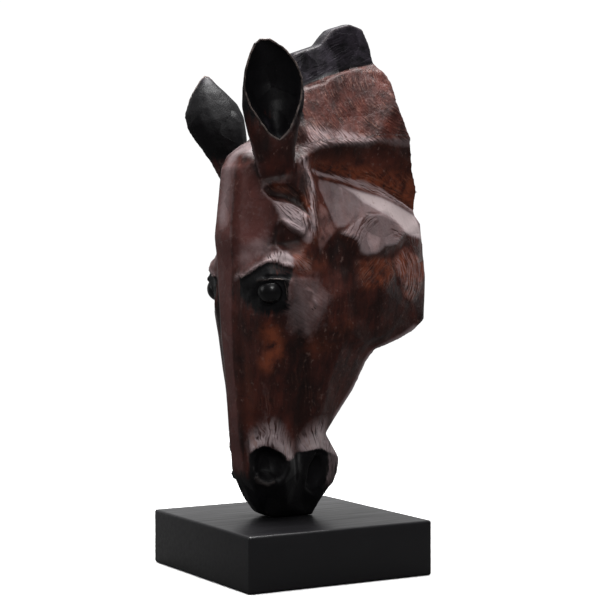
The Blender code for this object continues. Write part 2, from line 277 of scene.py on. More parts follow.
AREAS = {
    "neck plane": [(-22, 449), (9, 469), (32, 481), (62, 489), (88, 495), (99, 470), (112, 421),
        (71, 418), (58, 414), (33, 414), (7, 410), (-12, 404)],
    "foot of the neck plane": [(-4, 434), (13, 431), (37, 427), (68, 422), (112, 421), (112, 415),
        (71, 418), (58, 414), (33, 414), (7, 411), (-12, 405)],
    "throat": [(-9, 406), (7, 411), (33, 414), (58, 414), (71, 418), (112, 419), (118, 391), (124, 370),
        (122, 351), (110, 358), (97, 366), (84, 374), (66, 380), (49, 382), (19, 386), (-2, 391)],
    "ridge over the cheek": [(-8, 398), (-2, 391), (19, 386), (34, 385), (49, 382), (66, 380), (84, 374),
        (97, 366), (110, 358), (122, 352), (122, 349), (101, 357), (79, 365), (60, 371), (42, 377),
        (25, 381), (4, 384), (-8, 392)],
    "cheek plane": [(5, 381), (29, 376), (51, 370), (79, 364), (100, 356), (122, 347), (130, 323),
        (105, 328), (91, 341), (72, 349), (55, 349), (37, 340), (27, 335), (21, 334), (16, 340),
        (12, 354), (4, 371)],
    "bright end of the cheek": [(29, 376), (51, 370), (79, 364), (100, 356), (122, 347), (130, 323),
        (105, 328), (91, 341), (72, 349), (66, 352), (54, 358), (45, 367)],
    "front of the cheek": [(1, 358), (11, 352), (16, 340), (21, 334), (15, 327), (-4, 308), (-6, 320),
        (-6, 337)],
    "cheekbone": [(23, 328), (30, 333), (42, 342), (55, 348), (72, 348), (91, 341), (103, 329), (89, 318),
        (73, 316), (65, 310), (51, 308), (44, 311), (39, 322), (32, 325)],
    "front of the cheekbone": [(22, 327), (30, 334), (43, 343), (58, 347), (66, 340), (52, 332),
        (44, 322), (41, 311), (33, 320)],
    "top of the cheekbone": [(49, 327), (67, 327), (69, 317), (54, 309), (46, 313)],
    "under the cheekbone": [(4, 313), (21, 327), (32, 324), (39, 320), (45, 309), (42, 300), (43, 276),
        (50, 248), (37, 248), (33, 290), (15, 292)],
    "temple": [(-47, 359), (-27, 356), (-16, 348), (-12, 340), (-22, 327), (-35, 335), (-41, 341)],
    "hollow of the temple": [(-47, 333), (-42, 339), (-35, 333), (-22, 325), (-24, 320), (-43, 317),
        (-52, 317)],
    "under the ear": [(-52, 371), (-41, 374), (-25, 375), (-17, 366), (-13, 346), (-18, 355), (-31, 362),
        (-48, 364)],
    "jaw patch": [(42, 300), (55, 306), (83, 303), (90, 289), (82, 281), (70, 275), (46, 276), (43, 289)],
    "jaw flake": [(87, 303), (102, 316), (130, 300), (132, 288), (124, 271), (114, 262), (105, 266),
        (99, 275), (90, 292)],
    "brow": [(-71, 284), (-68, 289), (-66, 293), (-62, 297), (-58, 300.5), (-55, 302), (-50, 302),
        (-45, 300), (-43, 298), (-34, 297), (-33, 306), (-36, 311), (-44, 312), (-51, 310), (-57, 304),
        (-63, 298), (-67, 293), (-71, 287)],
    "hair of the brow": [(-34, 310), (-25, 310), (-14, 304), (-12, 292), (-26, 291), (-33, 296)],
    "eye hollow": [(-71, 285), (-66, 293), (-62, 297), (-57, 301), (-50, 302), (-45, 300), (-43, 298),
        (-33, 296), (-34, 289), (-39, 283), (-40, 280), (-39, 268), (-36, 256), (-44, 252), (-53, 251),
        (-62, 254), (-68, 262)],
    "under the brow": [(-55, 300), (-50, 302), (-45, 300), (-43, 298), (-33, 296), (-34, 289),
        (-56, 289)],
    "behind the eye": [(-39, 287), (-20, 287), (-3, 284), (7, 268), (3, 248), (-12, 232), (-30, 238),
        (-37, 262)],
    "frost over the nostril": [(-60, 117), (-59, 127), (-55, 135), (-48, 142), (-43, 148), (-37, 150),
        (-29, 142), (-25, 135), (-19, 127), (-15, 118), (-17, 111), (-24, 110), (-28, 117), (-33, 121),
        (-42, 125), (-47, 126), (-54, 121), (-59, 114)],
    "frost over the lip": [(3, 139), (10, 144), (20, 146), (31, 136), (40, 128), (46, 116), (35, 111),
        (28, 116), (22, 119), (6, 120), (-3, 122), (-6, 130)],
    "side of the lip": [(29, 113), (45, 112), (48, 105), (46, 95), (40, 84), (28, 74), (28, 87),
        (30, 100)],
    "mouth": [(13, 117), (20, 119), (27, 115), (29, 104), (27, 88), (22, 77), (15, 74), (5, 81), (5, 89),
        (11, 103)],
    "mane": [(-24, 452), (5, 473), (32, 485), (63, 495), (92, 499), (88, 520), (77, 534), (62, 538),
        (43, 532), (34, 520), (29, 514), (0, 505), (-22, 474)],
    "disc in the nostril": [(-52, 95), (-50, 91), (-47, 89), (-42, 88), (-36, 91), (-33, 95), (-36, 99),
        (-42, 101), (-49, 100)],
    "lower throat": [(4, 384), (25, 383), (42, 380), (60, 374), (79, 368), (101, 360), (122, 352),
        (120, 385), (95, 388), (70, 392), (45, 394), (20, 396), (-2, 395)],
    "arch behind the ear": [(-17, 400), (-3, 392), (-1, 378), (-1, 364), (-4, 350), (-3, 322), (-18, 322),
        (-14, 350), (-11, 364), (-11, 380), (-17, 392)],
    "left ear cup": [(-43, 416), (-34, 426), (-29, 438), (-24, 455), (-24, 472), (-31, 488), (-42, 500),
        (-55, 508), (-66, 511), (-72, 505), (-75, 494), (-78, 480), (-78, 463), (-72, 447), (-62, 433),
        (-54, 422)],
    "side of the forehead": [(-68, 396), (-54, 392), (-48, 360), (-50, 330), (-60, 308), (-72, 296)],
}
PLATES = [
    ("cheekbone", 1.2, 1.0), ("temple", 1.6, 1.2), ("jaw patch", 0.7, 3.0), ("jaw flake", 0.6, 4.0),
    ("hollow of the temple", -2.0, 2.5), ("under the ear", -2.5, 2.5), ("throat", -1.6, 3.0),
    ("under the cheekbone", -1.4, 7.0), ("eye hollow", -1.0, 1.2), ("behind the eye", 0.6, 1.5),
    ("disc in the nostril", 1.2, 1.2), ("mouth", -1.8, 1.5), ("brow", 0.4, 2.5),
    ("front of the cheek", 0.6, 1.5),
]
points = points_of(head)
normals = normals_of(head)
sided = both_sides(points)
for name, height, edge_width in PLATES:
    # The plates end at the flat strip down the middle of the face
    raised = within(sided, AREAS[name], edge_width) * ramp(sided[:, 0], 16, 22)
    points = points + normals * (raised * height)[:, None]

# The flat strip of the face is narrower than the solid's: half its width at each height is given here.
# Beside it the skin falls back, by 0.4 mm for each millimetre
STRIP = [(95, 11), (131, 10), (165, 9.5), (208, 9.5), (246, 11.5), (284, 13.5), (322, 16), (360, 14),
    (384, 13), (400, 11)]
STRIP_FALL, FALL_WIDTH = 0.4, 8
strip_edge = np.interp(points[:, 2], *zip(*STRIP))
beyond = np.clip(sided[:, 0] - strip_edge, 0, FALL_WIDTH)
fall = beyond * STRIP_FALL * (1 - ramp(sided[:, 0], 17, 30)) * ramp(-points[:, 1], 45, 52)
fall *= ramp(points[:, 2], 84, 122) * (1 - ramp(points[:, 2], 392, 402))
points[:, 1] += fall
move_points(head, points)
print("plates and hollows", len(PLATES), "strip falls by", round(float(fall.max()), 1), "mm")

# %% [markdown]
# ## Carved details
# Folds, lids, grooves and small ridges are strokes: a line, how far to its sides the stroke reaches, and how
# far the points at the line move, out or in.

# %% Strokes
ARCH = [(48, -13, 398), (46, -8, 390), (51, -6, 378), (55, -6, 364), (58, -9, 351)]
STROKES = [
    ("edge of the upper lid", [(50, -63, 284), (59, -57, 286), (63, -50, 286), (65, -43, 286),
        (66, -38, 284)], 3.2, 1.6),
    ("slit over the lid", [(57, -60, 288), (62, -54, 288.5), (64, -46, 288.5),
        (65, -39, 288)], 2.4, -2.2),
    ("rear rim of the eye", [(64, -41, 284), (64, -39, 278), (62, -37, 270), (60, -38, 262)], 3.0, 2.0),
    ("lower lid", [(44, -63, 268), (50, -57, 258), (57, -49, 257), (61, -41, 263)], 4.0, 1.0),
    ("edge of the brow", [(28, -70, 286), (36, -68, 290), (43, -66, 294), (48, -62, 298), (53, -58, 302),
        (57, -51, 303), (62, -43, 299), (65, -34, 298)], 3.0, 1.6),
    ("hood of the nostril", [(20, -58, 116), (24, -54, 123), (29, -47, 128), (31, -40, 127),
        (35, -30, 121), (38, -26, 114)], 3.4, 1.8),
    ("rim in the nostril", [(24, -52, 95), (24, -50, 91), (27, -47, 89), (31, -42, 88),
        (33, -36, 91)], 2.4, 1.1),
    ("crease behind the nostril", [(36, -15, 122), (35, -13, 112), (32, -12, 102),
        (27, -10, 92)], 4.0, -1.2),
    ("edge of the mouth", [(31, 4, 120), (28, 14, 120), (22, 28, 116), (21, 30, 105),
        (19, 29, 88)], 2.6, 1.4),
    ("edge of the lip", [(21, 44, 112), (20, 46, 104), (19, 44, 94), (18, 39, 84)], 2.4, 1.0),
    ("wrinkle behind the eye", [(64, -23, 277), (63, -18, 275), (61, -11, 273), (61, -9, 266),
        (61, -7, 262)], 2.6, 1.3),
    ("wrinkle under the ear", [(44, -44, 372), (47, -30, 368), (52, -18, 362), (58, -12, 350)], 3.2, 1.1),
    ("crease in the temple", [(58, -40, 344), (60, -30, 340), (62, -22, 334)], 3.5, -1.0),
    ("groove under the mane", [(20, 9, 470), (21, 26, 476), (15, 48, 487), (15, 62, 491),
        (13, 85, 497)], 2.6, -1.6),
    ("ridge over the cheek", [(44, 4, 386), (40, 25, 383), (40, 42, 379), (40, 60, 373), (40, 79, 367),
        (38, 101, 360), (36, 122, 351)], 3.4, 1.8),
    ("fold in the cheek plane", [(43, 29, 376), (45, 45, 367), (49, 54, 358), (52, 66, 352)], 4.0, -0.9),
    ("second fold in the cheek plane", [(45, 30, 372), (50, 31, 356), (54, 38, 345)], 3.5, 0.8),
    ("arch behind the ear", ARCH + [(61, -8, 337)], 4.4, 1.0),
    ("groove of the nose", [(62, -30, 262), (55, -22, 236), (46, -8, 205), (41, -7, 182), (35, -9, 150),
        (31, -7, 126)], 9.0, -1.6),
    ("tear line", [(36, -67, 276), (38, -65, 268), (36, -66, 262)], 2.5, -0.8),
]
points = points_of(head)
normals = normals_of(head)
sided = both_sides(points)
for name, line, width, out in STROKES:
    push = near(sided, line, width) * out
    points = points + normals * push[:, None]
    print("stroke", name, int((push != 0).sum()), "points")
move_points(head, points)

# %% [markdown]
# ## Where the paint goes
# The painter's layers are stored on the mesh as numbers at each point, 0 where there is none and 1 or more
# where it is full: black, grey, rust, a dark wash, dust, scratched hair, the pale strip of the face, and how
# far a point stands out or lies in. The grey, the pale strip, the wash and the dust also hold painted light:
# painted highlights, painted shade in the hollows and a painted sheen on the ears. The material reads these
# layers by name.

# %% Neighbours, to spread and compare values
edges = np.empty(len(head.data.edges) * 2, np.int64)
head.data.edges.foreach_get("vertices", edges)
edges = edges.reshape(-1, 2)
neighbours = np.bincount(edges.ravel(), minlength=len(points)).astype(float)


def spread(values, rounds):
    """Each round moves a value halfway to the mean of those around it."""
    for _ in range(rounds):
        total = np.bincount(edges[:, 0], values[edges[:, 1]], len(values))
        total += np.bincount(edges[:, 1], values[edges[:, 0]], len(values))
        values = 0.5 * values + 0.5 * total / neighbours
    return values


def store(obj, name, values):
    """Keeps a number for each point on the mesh, under a name that a material can read."""
    layer = obj.data.attributes.new(name, "FLOAT", "POINT")
    layer.data.foreach_set("value", np.clip(values, 0, 2).astype(np.float32))


print("a point has", round(float(neighbours.mean()), 2), "neighbours on average")

# %% Black parts
x, y, z = points.T
sided = both_sides(points)
MUZZLE_LINE = [(-75, 104), (-62, 106), (-59, 114), (-54, 122), (-47, 126.5), (-42, 125.5), (-35, 122),
    (-28, 118), (-25, 111), (-16, 113), (-12, 119), (-3, 118), (6, 119), (13, 120), (22, 119), (28, 116),
    (42, 111), (60, 108)]
MANE_LINE = [(-60, 452), (-22, 455), (5, 471), (32, 482), (63, 492), (88, 497), (120, 502)]
muzzle_top = np.interp(y, *zip(*MUZZLE_LINE))
on_strip = (1 - ramp(sided[:, 0], 15, 21)) * ramp(-y, 48, 54)
# On the strip of the face the black comes in slowly, elsewhere with a crisp edge
crisp_black, slow_black = 1 - ramp(z, muzzle_top - 1.5, muzzle_top + 1.5), 1 - ramp(z, 80, 112)
black = crisp_black * (1 - on_strip) + slow_black * on_strip
mane_root = np.interp(y, *zip(*MANE_LINE))
on_mane = ramp(z, mane_root - 1, mane_root + 1) * (np.abs(x) < 27) * (y > -26)
black = np.maximum(black, on_mane)
EARS = {
    1: [(38, -42, 395), (44, -46, 420), (64, -66, 512)],
    -1: [(-38, -40, 398), (-46, -46, 420), (-72, -58, 486)],
}
stalks = np.zeros(len(points))
for side, line in EARS.items():
    on_ear = (near(points, line, 60) > 0.1) * (z > 388) * (side * x > 22) * (y < -8 + (z - 392) * 0.1)
    # The left ear turns brown down its stalk; the right ear is black down to its foot
    black = np.maximum(black, on_ear * (ramp(z, 408, 462) if side > 0 else ramp(z, 390, 412)))
    # The foot of each ear goes to the wash, which paints shade there
    stalks = np.maximum(stalks, on_ear * ramp(z, 388, 400) * 0.55)
# The inside of the left ear is black down to its foot
cup = within(points, AREAS["left ear cup"], 0.8) * (normals[:, 0] > -0.15) * (x > 44)
black = np.maximum(black, cup)
# Round the eye the black has a crisp edge above and fades out below
eye = within(sided, AREAS["eye hollow"], 0.8)
eye_soft = within(sided, AREAS["eye hollow"], 13)
lower = 1 - ramp(z, 262, 276)
eye = (eye * (1 - lower) + eye_soft * lower) * (sided[:, 0] > 24)
eye *= 1 - 0.35 * within(sided, AREAS["under the brow"], 2)
black = np.maximum(black, eye)
black *= 1 - 0.5 * within(sided, AREAS["side of the lip"], 1.5)
store(head, "black", spread(black, 1))
print("black share", round(float(black.mean()), 3))

# %% [markdown]
# Grey with painted highlights, rust, a dark wash with painted shade, dust with a painted sheen and scratched
# hair each lie in areas of the side view and along lines. A row is an area, how soft its edge is and how
# strong the paint; or a line, how far it reaches and how strong.

# %% Grey and painted highlights, rust, dark wash and painted shade, dust and painted sheen, scratched hair
# Along the underside of the jaw, grey and pale paint stand in for rim light from behind: a painted highlight
UNDER_JAW = [(34, 122, 233), (31, 108, 225), (29.5, 87, 217), (27, 76, 209), (24.6, 71, 201),
    (22, 64, 185), (20, 55, 169), (18, 40, 148)]
LAYERS = {
    "grey": ([
        # The strong grey on the bright end of the cheek is also painted light, falling on the up-facing end
        # of the plane
        ("cheek plane", 1.0, 0.47), ("bright end of the cheek", 2.5, 1.4),
        ("ridge over the cheek", 1.0, 0.85), ("cheekbone", 1.0, 0.62), ("jaw flake", 4, 0.45),
        ("jaw patch", 5, 0.12), ("top of the cheekbone", 9, 0.8), ("temple", 3.5, 0.82),
        ("behind the eye", 15, 0.46), ("brow", 3.0, 1.12), ("hair of the brow", 4, 0.4),
        ("frost over the nostril", 12, 0.95), ("frost over the lip", 11, 1.1),
        ("foot of the neck plane", 5, 0.55), ("neck plane", 4, 0.12), ("front of the cheek", 2, 0.25),
        # On the side of the forehead the grey is painted light from the front left
        ("side of the forehead", 10, 0.1), ("side of the lip", 2, 0.65), ("disc in the nostril", 1, 0.2),
    ], [
        (ARCH + [(61, -8, 337), (63, -16, 324)], 8, 0.8),
        ([(0, -66, 400), (0, -50, 412), (20, -52, 408)], 20, 0.42),
        # Grey down the upper face strip is painted light from the front left
        ([(0, -75, 390), (0, -76, 345)], 20, 0.62),
        ([(44, -58, 318), (30, -68, 306)], 24, 0.32),
        ([(24, -54, 126), (29, -47, 131), (33, -38, 130), (37, -28, 122), (38, -20, 116)], 13, 1.1),
        # The strong grey over the top of the lip is painted rim light from behind
        ([(32, 0, 124), (31, 14, 124), (28, 26, 122), (22, 38, 118)], 15, 1.35),
        ([(34, -46, 200), (31, -44, 150)], 8, 0.35),
        # Grey along the underside of the jaw is a painted highlight
        (UNDER_JAW, 8, 1.3),
    ]),
    "rust": ([
        ("ridge over the cheek", 1.2, 1.0), ("jaw flake", 2, 1.0), ("jaw patch", 4, 0.8),
        ("hair of the brow", 5, 0.9), ("throat", 5, 0.15), ("top of the cheekbone", 8, 0.35),
        ("lower throat", 10, 0.95), ("front of the cheek", 4, 0.3),
    ], [
        ([(47, -48, 236), (46, -42, 218), (45, -50, 206)], 16, 1.0),
        ([(62, -10, 320), (64, -28, 305), (58, 0, 300)], 14, 0.35),
        ([(50, -20, 250), (46, 0, 220), (50, 30, 240)], 20, 0.35),
        ([(24, -64, 200), (22, -60, 150)], 12, 0.3),
        ([(44, -40, 372), (47, -30, 369), (52, -18, 362), (57, -12, 352)], 7, 1.0),
        ([(62, -18, 345), (60, -8, 352), (54, -7, 368)], 8, 0.6),
    ]),
    # The wash is partly painted shade: in the hollows of the temple, under the ear and the cheekbone, down
    # the groove of the nose, under the ledge of the neck plane and round the poll
    "wash_and_shade": ([
        ("hollow of the temple", 3, 0.55), ("under the ear", 3, 0.5), ("under the cheekbone", 7, 0.75),
        ("mouth", 2, 1.0),
    ], [
        ([(62, -30, 258), (55, -22, 236), (46, -8, 205), (41, -7, 182), (35, -9, 150),
         (30, -6, 122)], 12, 0.8),
        ([(50, 0, 406), (50, 33, 410), (49, 60, 410), (46, 90, 411), (44, 112, 411)], 16, 0.75),
        ([(50, 100, 400), (44, 118, 385)], 18, 0.35),
        ([(52, -20, 226), (48, -14, 214)], 14, 0.8),
        ([(52, 0, 236), (50, 40, 232), (45, 80, 232), (42, 104, 244)], 13, 0.7),
        ([(0, -64, 402), (0, -50, 412), (20, -52, 408)], 22, 0.9),
        ([(34, -57, 392), (42, -50, 374)], 18, 0.75),
        ([(20, -70, 250), (17, -67, 208), (16, -64, 160), (17, -62, 120)], 9, 0.7),
    ]),
    # Dust makes the black of the mane paler; on the ears this layer is a painted sheen
    "dust_and_sheen": ([
        ("mane", 3, 0.6),
    ], [
        # A paler patch on the back of each ear: a painted sheen
        ([(66, -60, 478), (62, -58, 462), (58, -58, 446)], 11, 0.9),
        ([(40, -52, 418), (46, -54, 430)], 9, 0.6),
    ]),
    "hair": ([
        ("neck plane", 5, 0.7), ("lower throat", 6, 0.9), ("ridge over the cheek", 1.5, 0.9),
        ("front of the cheekbone", 7, 0.75), ("jaw patch", 6, 1.0), ("jaw flake", 5, 0.9),
        ("brow", 2, 1.0), ("hair of the brow", 5, 1.0), ("frost over the nostril", 12, 1.1),
        ("frost over the lip", 11, 1.1), ("mane", 3, 0.5), ("behind the eye", 8, 0.15),
        ("temple", 5, 0.75),
    ], [
        ([(50, 90, 330), (42, 118, 318)], 14, 0.8),
        (ARCH + [(61, -8, 330)], 12, 0.9),
        ([(44, -44, 372), (47, -30, 369), (52, -18, 362), (57, -12, 352)], 10, 0.9),
        ([(40, -50, 240), (34, -50, 190), (30, -48, 150)], 30, 0.2),
        ([(34, -46, 205), (31, -44, 150)], 11, 1.0),
        ([(55, 20, 270), (50, 60, 250)], 50, 0.2),
        ([(40, -20, 200), (36, 10, 160)], 26, 0.2),
    ]),
}
# The areas are drawn on the sides, so they stop where the skin turns to the sawn back
normals = normals_of(head)
on_sides = ramp(sided[:, 0], 14, 20) * (1 - ramp(normals[:, 1], 0.8, 0.92) * ramp(y, 70, 90))
for name, (areas, lines) in LAYERS.items():
    total = np.zeros(len(points))
    for area, blur, strength in areas:
        reached = 1 if area == "mane" else on_sides
        total = np.maximum(total, within(sided, AREAS[area], blur) * reached * strength)
    for line, reach, strength in lines:
        total = np.maximum(total, near(sided, line, reach) * strength)
    # The wash also paints shade at the foot of each ear
    if name == "wash_and_shade":
        total = np.maximum(total, stalks)
    store(head, name, spread(total, 1))
    print(name, "covers", round(float((total > 0.2).mean()), 3))

# %% The pale strip of the face, partly painted light
strip_edge = np.interp(z, *zip(*STRIP))
# The strip's pale paint also stands in for the light from the front left that falls on it: painted light
strip = (1 - ramp(sided[:, 0], strip_edge - 0.8, strip_edge + 0.8)) * ramp(-y, 45, 52) * ramp(z, 92, 112)
strip *= 1 - ramp(z, 390, 400)
# The same pale paint lies thinner on the side of the forehead, and in a narrow line under the jaw. On the
# side of the forehead it is painted light from the front left, and under the jaw painted rim light from
# behind
beside = within(sided, AREAS["side of the forehead"], 6) * ramp(sided[:, 0], 15, 17)
strip = np.maximum(strip, beside * (1.1 - 0.55 * ramp(z, 325, 352)))
strip = np.maximum(strip, near(sided, UNDER_JAW, 10))
store(head, "strip", strip)
print("strip covers", round(float((strip > 0.2).mean()), 3))

# %% [markdown]
# ### How the hair lies
# Scratches follow the flow of the coat. In each area they run out from a place like the spokes of a wheel,
# round it like a rim, or straight at an angle. The layer "comb" holds for each point how far it lies across
# the scratches and how far along them, so one pattern of thin lines can follow every flow.

# %% Comb the hair
COMBS = [
    ("neck plane", "rim", (112, 482)),
    ("throat", "straight", -36),
    ("ridge over the cheek", "straight", -22),
    ("cheekbone", "rim", (84, 300)),
    ("jaw patch", "straight", 48),
    ("jaw flake", "rim", (70, 286)),
    ("brow", "spokes", (-46, 268)),
    ("hair of the brow", "spokes", (-46, 320)),
    ("frost over the nostril", "spokes", (-36, 60)),
    ("frost over the lip", "spokes", (24, 80)),
    ("behind the eye", "straight", -30),
    ("temple", "straight", -42),
    ("under the ear", "straight", -34),
    ("arch behind the ear", "straight", -84),
    ("mane", "straight", 28),
]
MEAN_REACH = 50
comb = np.stack([y * 0.8 + sided[:, 0] * 0.6, z], axis=1)
for area, way, about in COMBS:
    if way == "straight":
        slant = math.radians(about)
        across, along = z * math.cos(slant) - y * math.sin(slant), y * math.cos(slant) + z * math.sin(slant)
    else:
        reach = np.hypot(y - about[0], z - about[1])
        round_it = np.arctan2(y - about[0], z - about[1]) * MEAN_REACH
        across, along = (round_it, reach) if way == "spokes" else (reach, round_it)
    inside = (within(sided, AREAS[area], 8) > 0.02) & ((sided[:, 0] > 14) | (area == "mane"))
    comb[inside] = np.stack([across, along], axis=1)[inside]
flow = head.data.attributes.new("comb", "FLOAT_VECTOR", "POINT")
flow.data.foreach_set("vector", (np.column_stack([comb, x]) * MM).astype(np.float32).ravel())
print("combed", len(COMBS), "areas")

# %% [markdown]
# ### What stands out and what lies low
# Grey paint catches on ridges, and a dark wash runs into grooves, where it also paints their shade. How far
# a point lies outside or inside a smoothed copy of the surface tells the one from the other.

# %% How far a point stands out
BROAD_ROUNDS = 14
normals = normals_of(head)
broad = np.stack([spread(points[:, i], BROAD_ROUNDS) for i in range(3)], axis=1)
stands_out = ((points - broad) * normals).sum(axis=1)
store(head, "edge", ramp(stands_out, 0.15, 1.0))
store(head, "hollow", ramp(-stands_out, 0.1, 1.2))
print("stands out by", [round(float(q), 2) for q in np.percentile(stands_out, [2, 50, 98])], "mm")

# %% [markdown]
# ## Materials
# A colour is written as the eye would name it on a screen, in sRGB, and the renderer wants it linear. A
# node's inputs are given by name or number. In MapRange 1 and 2 are the range that comes in, and 3 and 4 the
# one that goes out, each from 0 to 1 unless given. In Mix 0 is the share, and 2 and 3 are the numbers that
# are mixed, or 6 and 7 the colours.

# %% Colours and nodes
def colour(hex_code):
    """The linear colour for an sRGB hex code."""
    parts = [int(hex_code[i:i + 2], 16) / 255 for i in (1, 3, 5)]
    linear = [p / 12.92 if p <= 0.04045 else ((p + 0.055) / 1.055) ** 2.4 for p in parts]
    return (*linear, 1.0)


def node(tree, kind, inputs=None, **settings):
    """Adds a node with its settings and links. A node given as an input stands for its first output."""
    made = tree.nodes.new("ShaderNode" + kind)
    for key, value in settings.items():
        setattr(made, key, value)
    for key, value in (inputs or {}).items():
        if isinstance(value, bpy.types.Node):
            value = next(socket for socket in value.outputs if socket.enabled)
        if isinstance(value, bpy.types.NodeSocket):
            tree.links.new(value, made.inputs[key])
        else:
            made.inputs[key].default_value = value
    return made


def new_material(name):
    """A material with no nodes yet, and its tree."""
    material = bpy.data.materials.new(name)
    material.use_nodes = True
    material.node_tree.nodes.clear()
    return material, material.node_tree


print("grey paint in linear light", [round(c, 3) for c in colour("#a49294")])

# %% [markdown]
# ### Painted resin
# Polyurethane resin, cast, primed and brushed with a dark umber, then with red-brown glazes, then
# dry-brushed: an almost dry brush with grey leaves paint only on edges and ridges. A wax gives it an uneven
# low gloss. Each pattern's scale is 1000 divided by a real size in millimetres.

# %% Resin paint: where the paint is read from
resin, tree = new_material("painted_cast_resin")
where = node(tree, "TexCoord").outputs["Object"]
layer = {
    name: node(tree, "Attribute", attribute_name=name).outputs["Fac"]
    for name in ("black", "grey", "rust", "hair", "wash_and_shade", "strip", "dust_and_sheen", "edge", "hollow")
}
comb = node(tree, "Attribute", attribute_name="comb").outputs["Vector"]
cloud = node(tree, "TexNoise", {"Vector": where, "Scale": 1000 / 50, "Detail": 5, "Roughness": 0.6})
blotch = node(tree, "TexNoise", {"Vector": where, "Scale": 1000 / 14, "Detail": 6, "Roughness": 0.65})
grit = node(tree, "TexNoise", {"Vector": where, "Scale": 1000 / 3, "Detail": 4, "Roughness": 0.7})
# Brush strokes run along the nose and jaw: 9 mm wide, 25 mm long
streak_place = node(tree, "Mapping", {"Vector": where, "Scale": (1, 1, 0.36)})
streak = node(tree, "TexNoise", {"Vector": streak_place, "Scale": 1000 / 9, "Detail": 5, "Roughness": 0.6})
# Scratches are 1.6 mm apart and some 25 mm long, and they waver by a millimetre or two as a hand does
hand = node(tree, "TexNoise", {"Vector": where, "Scale": 1000 / 16, "Detail": 2, "Roughness": 0.6})
waver = node(tree, "VectorMath", {0: hand.outputs["Color"], 1: (0.006, 0, 0), 2: comb},
             operation="MULTIPLY_ADD")
hair_place = node(tree, "Mapping", {"Vector": waver, "Scale": (1, 0.06, 0.25)})
scratch = node(tree, "TexNoise", {"Vector": hair_place, "Scale": 1000 / 1.6, "Detail": 2, "Roughness": 0.5})
# The hand pressed harder here and lighter there
press = node(tree, "TexNoise", {"Vector": where, "Scale": 1000 / 20, "Detail": 3, "Roughness": 0.6})
# The dry brush left small flecks, some 4 mm apart, where it only touched
touch_place = node(tree, "Mapping", {"Vector": where, "Scale": (1, 1, 0.7)})
touch = node(tree, "TexNoise", {"Vector": touch_place, "Scale": 1000 / 4, "Detail": 3, "Roughness": 0.6})
# Flats as a knife leaves them on clay, some 26 mm across: each cell is a plane with a tilt of its own
cells = node(tree, "TexVoronoi", {"Vector": where, "Scale": 1000 / 26})
tilt = node(tree, "VectorMath", {0: cells.outputs["Color"], 1: (0.5, 0.5, 0.5)}, operation="SUBTRACT")
offset = node(tree, "VectorMath", {0: where, 1: cells.outputs["Position"]}, operation="SUBTRACT")
flats = node(tree, "VectorMath", {0: tilt, 1: offset}, operation="DOT_PRODUCT")
print("patterns of the resin", len(tree.nodes), "nodes")

# %% [markdown]
# Each coat covers a share of the surface, worked out from the layers and the patterns. A reading turns a
# pattern or layer into a share: what is read, two of its values, and the share at each of them.

# %% Resin paint: how far each coat covers
READINGS = {
    "cloud": (cloud, 0.38, 0.62, 0, 1),
    "light streak": (streak, 0.5, 0.7, 0, 0.5),
    "dark streak": (streak, 0.48, 0.34, 0, 0.6),
    "strip cloud": (cloud, 0.35, 0.6, 0.6, 0.95),
    "rust patch": (blotch, 0.36, 0.56, 0, 1),
    "wash and shade patch": (blotch, 0.3, 0.6, 1, 0.75),
    "fine": (grit, 0.3, 0.7, -0.05, 0.05),
    "coarse": (blotch, 0.3, 0.7, -0.12, 0.12),
    "in coat": (layer["hair"], 0, 0.8, 0, 1),
    "white": (layer["grey"], 0.9, 1.5, 0, 0.6),
    "dry": (layer["wash_and_shade"], 0, 0.5, 1, 0),
    "light hair": (scratch, 0.54, 0.64, 0, 0.6),
    "dark line": (scratch, 0.46, 0.38, 0, 0.75),
    "press": (press, 0.4, 0.58, 0.15, 1),
    "touch": (touch, 0.6, 0.7, 0, 0.42),
    "dust and sheen patch": (blotch, 0.35, 0.65, 0, 1),
    "worn": (layer["edge"], 0.7, 1, 0, 0.14),
}
share = {
    name: node(tree, "MapRange", {"Value": value, 1: low, 2: high, 3: at_low, 4: at_high})
    for name, (value, low, high, at_low, at_high) in READINGS.items()
}
pressed = node(tree, "Math", {0: layer["hair"], 1: share["press"]}, operation="MULTIPLY")
# A dark wash runs into what lies low, and it also paints the shade there
wash_and_shade = node(tree, "Math", {0: layer["hollow"], 1: 0.8, 2: layer["wash_and_shade"]}, operation="MULTIPLY_ADD")
wash_and_shade = node(tree, "MapRange", {"Value": wash_and_shade, 4: 0.92})
# Dry brush: grey catches where the rubbed layer, the scratches and the edges are high. The rubbed layer also
# holds painted highlights
catch = node(tree, "Math", {0: layer["edge"], 1: 0.25, 2: layer["grey"]}, operation="MULTIPLY_ADD")
uneven = node(tree, "Math", {0: share["fine"], 1: share["coarse"]}, operation="ADD")
catch = node(tree, "Math", {0: catch, 1: uneven}, operation="ADD")
catch = node(tree, "MapRange", {"Value": catch, 1: 0.1, 2: 1.1, 4: 0.95})
# In the coat it comes off as single hairs: few where the grey is thin, most where it is thick
thick = node(tree, "Math", {0: layer["grey"], 1: 0.24, 2: -0.105}, operation="MULTIPLY_ADD")
hairs = node(tree, "Math", {0: scratch, 1: thick}, operation="ADD")
hairs = node(tree, "MapRange", {"Value": hairs, 1: 0.43, 2: 0.58, 3: 0.04, 4: 1.15})
hairs = node(tree, "Mix", {0: share["in coat"], 2: 1, 3: hairs})
# The black edge is ragged
ragged = node(tree, "Math", {0: scratch, 1: 0.9, 2: -0.45}, operation="MULTIPLY_ADD")
ragged = node(tree, "Math", {0: ragged, 1: layer["black"]}, operation="ADD")
ragged = node(tree, "MapRange", {"Value": ragged, 1: 0.3, 2: 0.7})
print("shares of the coats", len(tree.nodes), "nodes")

